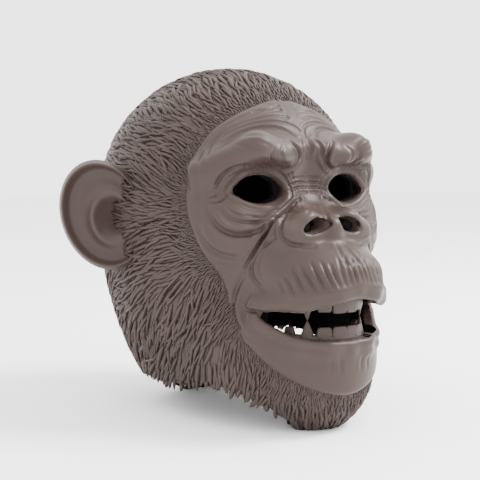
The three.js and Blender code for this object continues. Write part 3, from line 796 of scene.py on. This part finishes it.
def tooth_row(name, gum_low, gum_high, standing):
    """Gum bar along the arch with its teeth."""
    verts, faces = [], []
    ring = []
    u = np.linspace(0, 2 * math.pi, GUM_ROUND, endpoint=False)
    for angle in np.radians(np.linspace(-GUM_TURN, GUM_TURN, GUM_LONG)):
        c = arch_point(angle)
        x = rounded(np.cos(u), 0.7) * GUM_HALF_DEPTH
        z = (gum_low + gum_high) / 2 + rounded(np.sin(u), 0.7) * (gum_high - gum_low) / 2
        ring.append(np.stack([c[0] + x * math.sin(angle), c[1] - x * math.cos(angle), z], -1))
    verts.append(np.concatenate(ring))
    base = GUM_LONG * GUM_ROUND
    faces += [tuple(f) for f in grid_faces(GUM_LONG, GUM_ROUND, True)]
    faces += [tuple(range(GUM_ROUND)), tuple(range(base - 1, base - GUM_ROUND - 1, -1))]
    for side in (-1, 1):
        for deg, wide, upper, lower, pointed in TEETH:
            angle = side * math.radians(deg)
            c = arch_point(angle)
            if standing:
                low, high = gum_high - TOOTH_ROOT, gum_high + lower
            else:
                low, high = gum_low - upper, gum_low + TOOTH_ROOT
            deep = POINTED_DEPTH if pointed else TOOTH_DEPTH
            v, f = tooth(c, angle, wide, deep, low, high, pointed, standing)
            verts.append(v)
            faces += [tuple(i + base for i in face) for face in f]
            base += len(v)
    return mesh_object(name, np.concatenate(verts), faces)


def material(name, color, rough, grain, bump, mottling, spec):
    """Latex with broad mottling of its colour and a fine grain."""
    m = bpy.data.materials.new(name)
    m.use_nodes = True
    tree = m.node_tree
    nodes, links = tree.nodes, tree.links
    bsdf = nodes["Principled BSDF"]
    bsdf.inputs["Roughness"].default_value = rough
    bsdf.inputs["Specular IOR Level"].default_value = spec
    place = nodes.new("ShaderNodeTexCoord")
    fine = nodes.new("ShaderNodeTexNoise")
    fine.inputs["Scale"].default_value = grain
    fine.inputs["Detail"].default_value = 4
    links.new(place.outputs["Object"], fine.inputs["Vector"])
    broad = nodes.new("ShaderNodeTexNoise")
    broad.inputs["Scale"].default_value = 22
    broad.inputs["Detail"].default_value = 3
    links.new(place.outputs["Object"], broad.inputs["Vector"])
    ramp = nodes.new("ShaderNodeValToRGB")
    dark = [c * (1 - mottling) for c in color]
    light = [min(c * (1 + mottling), 1) for c in color]
    ramp.color_ramp.elements[0].position = 0.3
    ramp.color_ramp.elements[0].color = (*dark, 1)
    ramp.color_ramp.elements[1].position = 0.7
    ramp.color_ramp.elements[1].color = (*light, 1)
    links.new(broad.outputs["Fac"], ramp.inputs["Fac"])
    links.new(ramp.outputs["Color"], bsdf.inputs["Base Color"])
    relief = nodes.new("ShaderNodeBump")
    relief.inputs["Strength"].default_value = bump
    relief.inputs["Distance"].default_value = 0.0004
    links.new(fine.outputs["Fac"], relief.inputs["Height"])
    links.new(relief.outputs["Normal"], bsdf.inputs["Normal"])
    return m


SKIN = material("skin_latex", (0.037, 0.0247, 0.0212), 0.4, 900, 0.25, 0.05, 0.16)
EAR_SKIN = material("ear_latex", (0.04, 0.027, 0.0235), 0.42, 900, 0.25, 0.06, 0.16)
FUR = material("fur_latex", (0.041, 0.0277, 0.024), 0.5, 700, 0.3, 0.08, 0.18)
UNDERFUR = material("underfur_latex", (0.038, 0.026, 0.0225), 0.55, 500, 0.4, 0.08, 0.18)
TOOTH = material("tooth_latex", (0.036, 0.0245, 0.021), 0.4, 800, 0.2, 0.05, 0.2)
# Near-black inner latex: painted shade for the unlit hollow inside the mask, far darker than the outer
# latex.
PAINTED_SHADE_INSIDE = material("inside_painted_shade", (0.006, 0.005, 0.005), 0.9, 300, 0.4, 0.2, 0.05)


def piece(obj, skin, slot, *nodes):
    obj.data.materials.append(skin)
    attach(obj, "root")
    if nodes:
        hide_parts(*nodes)
    return obj


piece(face_skin("face", 360, 290, 0.0, True), SKIN, "face_skin", "face_skin")
# The inner walls of the face and hood take the near-black painted shade.
piece(face_skin("face_inside", 120, 96, -WALL - 3, False), PAINTED_SHADE_INSIDE, "face_skin")
piece(hood_wall("fur_skin", 220, 90, 60, FUR_SKIN_LEVEL, -3, -WALL), UNDERFUR, "fur_hood", "fur_hood")
piece(hood_wall("hood_inside", 120, 50, 30, -WALL - 1, -8), PAINTED_SHADE_INSIDE, "fur_hood")
roots, beyond = scatter(LOCK_TRIES)
sector = (roots[:, 1] > 35) * 2 + (roots[:, 0] > 0)
for k, label in enumerate(("fur_front_right", "fur_front_left", "fur_back_right", "fur_back_left")):
    pick = sector == k
    piece(fur_locks(label, roots[pick], beyond[pick]), FUR, "fur_hood")
for side, word in ((-1, "right"), (1, "left")):
    piece(ear("ear_shell_" + word, side, 150, 80), EAR_SKIN, "ear_" + word, "ear_" + word)
piece(tooth_row("teeth_upper", 105, 114, False), TOOTH, "upper_teeth", "upper_teeth")
piece(tooth_row("teeth_lower", 70, 79, True), TOOTH, "lower_teeth", "lower_teeth")

# Pale floor and soft studio light
bpy.ops.mesh.primitive_plane_add(size=12, location=(0, 0, 0))
floor = bpy.context.object
floor.name = "floor"
ground = bpy.data.materials.new("floor_white")
ground.use_nodes = True
ground.node_tree.nodes["Principled BSDF"].inputs["Base Color"].default_value = (0.93, 0.93, 0.93, 1)
ground.node_tree.nodes["Principled BSDF"].inputs["Roughness"].default_value = 0.9
floor.data.materials.append(ground)

world = bpy.data.worlds.new("studio")
world.use_nodes = True
world.node_tree.nodes["Background"].inputs["Color"].default_value = (1, 1, 1, 1)
world.node_tree.nodes["Background"].inputs["Strength"].default_value = 3.4
bpy.context.scene.world = world


def softbox(name, place, size, power):
    lamp = bpy.data.lights.new(name, "AREA")
    lamp.shape = "SQUARE"
    lamp.size = size
    lamp.energy = power
    obj = bpy.data.objects.new(name, lamp)
    obj.location = place
    aim = Vector((0, 0, 0.12)) - Vector(place)
    obj.rotation_euler = aim.to_track_quat("-Z", "Y").to_euler()
    bpy.context.collection.objects.link(obj)


softbox("key", (1.1, -0.7, 1.6), 0.7, 100)

camera = bpy.data.cameras.new("camera")
camera.sensor_width = 36
camera.lens = CAM_PX / 480 * 36
camera.clip_end = 50
view = bpy.data.objects.new("camera", camera)
view.location = Vector((CAM_AT + SHIFT) * MM)
view.rotation_euler = Vector(-CAM_OUT).to_track_quat("-Z", "Y").to_euler()
bpy.context.collection.objects.link(view)
bpy.context.scene.camera = view
